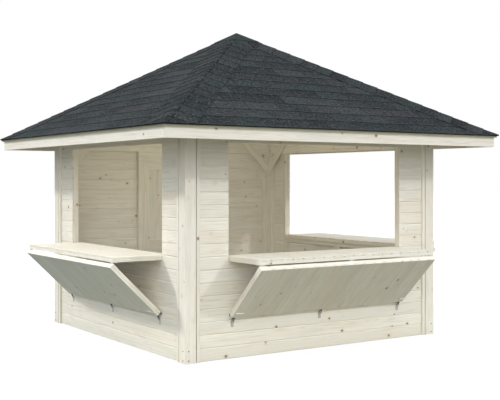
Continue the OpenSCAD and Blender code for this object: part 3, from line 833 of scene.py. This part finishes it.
for side in SIDES:
    cover = Stock()
    for course in range(math.ceil((roof_len - least_course) / exposure)):
        lay_course(cover, side, course)
    # starter strip under the slots of the first courses, painted dark all over as shade
    top = eave - starter_len * cos_p
    starter = [(-eave, 0.0), (eave, 0.0), (top, starter_len), (-top, starter_len)]
    lay_felt(
        cover, side, starter, lambda v: starter_lift - v * starter_dip, starter_t,
        0.0, 1.0, lambda v: 0.1)
    cover.piece(f"{side}_covering", SHINGLE, [f"{side}_covering"])

# ---------------------------------------------------------------- caps on the hips and the peak

hip_len = math.hypot(eave, roof_len)
# on a roof face: up the hip, and square to it into the face
hip_u, hip_v = -eave / hip_len, roof_len / hip_len
into_u, into_v = -hip_v, hip_u
cap_wing, cap_lap, cap_lift, cap_step, cap_t = 0.225, 0.07, 0.0058, 0.0042, 0.0048
cap_drip, least_cap = 0.003, 0.10
slot_near, slot_far, slot_fit, slot_len, slot_deep, slot_shade_sheet_t = (
    0.024, 0.036, 0.0002, 0.088, 0.0014, 0.0012)
# Strips of a cap: from and to across the hip, where they start along it, and how deep they lie.
# One wing is whole. The other has a slot near the fold, with a thin sheet at its foot painted black
# as the shade in the slot.
WHOLE_WING = ((0.0, cap_wing, 0.0, 0.0),)
SLOTTED_WING = (
    (0.0, slot_near, 0.0, 0.0),
    (slot_near + slot_fit, slot_far - slot_fit, slot_len, 0.0),
    (slot_near + slot_fit, slot_far - slot_fit, 0.0, slot_deep),
    (slot_far, cap_wing, 0.0, 0.0),
)
apex_reach, apex_lift, apex_t, apex_tone, apex_shade = 0.17, 0.0125, 0.0050, 0.45, 0.3


def roof_normal(side):
    return at(side, 0, sin_p, cos_p)


def lay_strip(stock, face, other, sign, strip, q0, tone, shade):
    """One strip of the cap that starts q0 up the hip between two faces, on the first of them."""
    d0, d1, start, deep = strip
    q1 = min(q0 + exposure + cap_lap, hip_len)
    corners = [(q0 + start, d0), (q1, d0), (q1, d1), (q0 + start, d1)]
    outline = [(eave + q * hip_u + d * into_u, q * hip_v + d * into_v) for q, d in corners]
    outline = clip(clip(outline, lambda p: p[1] + cap_drip), lambda p: p[0])
    if len(outline) < 3:
        return
    own = roof_normal(face)
    fold = own + roof_normal(other)
    tops, lows, grain, worn = [], [], [], []
    for u, v in outline:
        q, d = (u - eave) * hip_u + v * hip_v, (u - eave) * into_u + v * into_v
        fresh = 1 - (q - q0) / exposure
        base = on_roof(face, eave, roof_peak, sign * u, v, 0.0)
        out = fold / fold.dot(own) if d < 1e-5 else own
        top = cap_lift + cap_step * fresh - deep
        tops.append(base + out * top)
        lows.append(base + out * (top - (slot_shade_sheet_t if deep else cap_t)))
        grain.append((q, d, 0.0))
        # a sheet deep in a slot is painted black as the shade in the slot
        worn.append((0.0, 1.0, 0.0) if deep else (tone, shade, max(0.0, fresh)))
    stock.sheet(tops, lows, grain * 2, worn)


def lay_apex(stock, side):
    """The face of the peak cap on one roof face."""
    own = roof_normal(side)
    before, after = roof_normal(next_side(side, -1)), roof_normal(next_side(side, 1))
    foot = (eave - apex_reach) / cos_p
    tops, lows = [], []
    for u, v, fold in (
        (-apex_reach, foot, own + before), (apex_reach, foot, own + after),
        (0.0, roof_len, Vector((0, 0, 1))),
    ):
        base = on_roof(side, eave, roof_peak, u, v, 0.0)
        out = fold / fold.dot(own)
        tops.append(base + out * apex_lift)
        lows.append(base + out * (apex_lift - apex_t))
    grain = [(-apex_reach, 0, 0), (apex_reach, 0, 0), (0, apex_reach, 0)]
    stock.sheet(tops, lows, grain * 2, [(apex_tone, apex_shade, butt) for butt in (1.0, 1.0, 0.3)])


caps = Stock()
for side in SIDES:
    other = next_side(side, 1)
    for k in range(math.ceil((hip_len - least_cap) / exposure)):
        tone, shade = rng.random(), rng.random()
        for strip in WHOLE_WING:
            lay_strip(caps, side, other, 1, strip, k * exposure, tone, shade)
        for strip in SLOTTED_WING:
            lay_strip(caps, other, side, -1, strip, k * exposure, tone, shade)
for side in SIDES:
    lay_apex(caps, side)
caps.piece("hip_caps", SHINGLE)

# ---------------------------------------------------------------- stage, light and camera

floor_mesh = bpy.data.meshes.new("floor")
floor_mesh.from_pydata([(-80, -80, 0), (80, -80, 0), (80, 80, 0), (-80, 80, 0)], [], [(0, 1, 2, 3)])
floor = set_up("floor", floor_mesh)
floor_finish, f = new_finish("white_floor")
# what the floor throws back: cooler at the left, warmer at the front right, little from afar
east, north, _ = f.parts(f.node("ShaderNodeNewGeometry", out="Position"))
near = f.blend(
    f.step(east - north, -2.2, 1.4), f.matt((0.106, 0.142, 0.120)), f.matt((0.262, 0.258, 0.188)))
far = f.step(east * east + north * north, 8.0, 26.0)
lit = f.blend(far, near, f.matt((0.05, 0.05, 0.045)))
glow = f.node("ShaderNodeEmission", None, {"Color": (1, 1, 1, 1), "Strength": 1.0})
shown = f.blend(0.25, glow, f.matt((0.92, 0.92, 0.92)))
f.node("ShaderNodeOutputMaterial", None, {"Surface": f.blend(f.looked_at(), lit, shown)})
floor_mesh.materials.append(floor_finish)

world = bpy.data.worlds.new("studio")
bpy.context.scene.world = world
world.use_nodes = True
f = Finish(world.node_tree)
up = f.parts(f.node("ShaderNodeTexCoord", out="Generated"))[2]
dome = f.blend(
    f.step(up, 0.05, 0.65), f.sky((0.94, 0.985, 1.05), 0.78), f.sky((0.93, 0.985, 1.08), 1.12))
white = f.sky((1, 1, 1), 1.0)
f.node("ShaderNodeOutputWorld", None, {"Surface": f.blend(f.looked_at(), dome, white)})

# the last one stands for the light that pale boards throw into each other's shade
for name, comes_from, strength, colour, spread, shadow in (
    ("lamp_right", (0.295, -0.473, 0.37), 0.76, (1.0, 0.98, 0.95), 4.5, True),
    ("lamp_left", (-0.473, 0.43, 0.535), 1.85, (1.0, 0.98, 0.95), 4.5, True),
    ("lamp_front", (-0.509, -0.709, 0.489), 1.10, (1.0, 0.98, 0.95), 60, True),
    ("lamp_shade", (-0.35, -0.45, 0.82), 0.42, (0.95, 0.965, 0.97), 4.5, False),
):
    lamp = bpy.data.lights.new(name, "SUN")
    lamp.energy, lamp.color = strength, colour
    lamp.angle, lamp.use_shadow = math.radians(spread), shadow
    set_up(name, lamp).rotation_euler = Vector(comes_from).to_track_quat("Z", "Y").to_euler()

# light that comes in through the openings and stays under the roof
lamp = bpy.data.lights.new("lamp_room", "POINT")
lamp.energy, lamp.color, lamp.shadow_soft_size = 16.0, (1.0, 0.93, 0.76), 0.5
room = set_up("lamp_room", lamp)
room.location, room.visible_camera, room.visible_glossy = (-0.1, 0.1, 1.75), False, False

eye = bpy.data.cameras.new("photo_eye")
eye.sensor_width, eye.lens, eye.shift_x, eye.shift_y = 36.0, 67.63, 0.0, -0.0398
eye.clip_end = 300.0
camera = set_up("photo_eye", eye)
camera.location = (-5.3857, -8.3608, 1.5602)
camera.rotation_euler = (math.radians(90), 0.0, math.radians(-33.62))
bpy.context.scene.camera = camera
bpy.context.scene.view_settings.view_transform = "Standard"
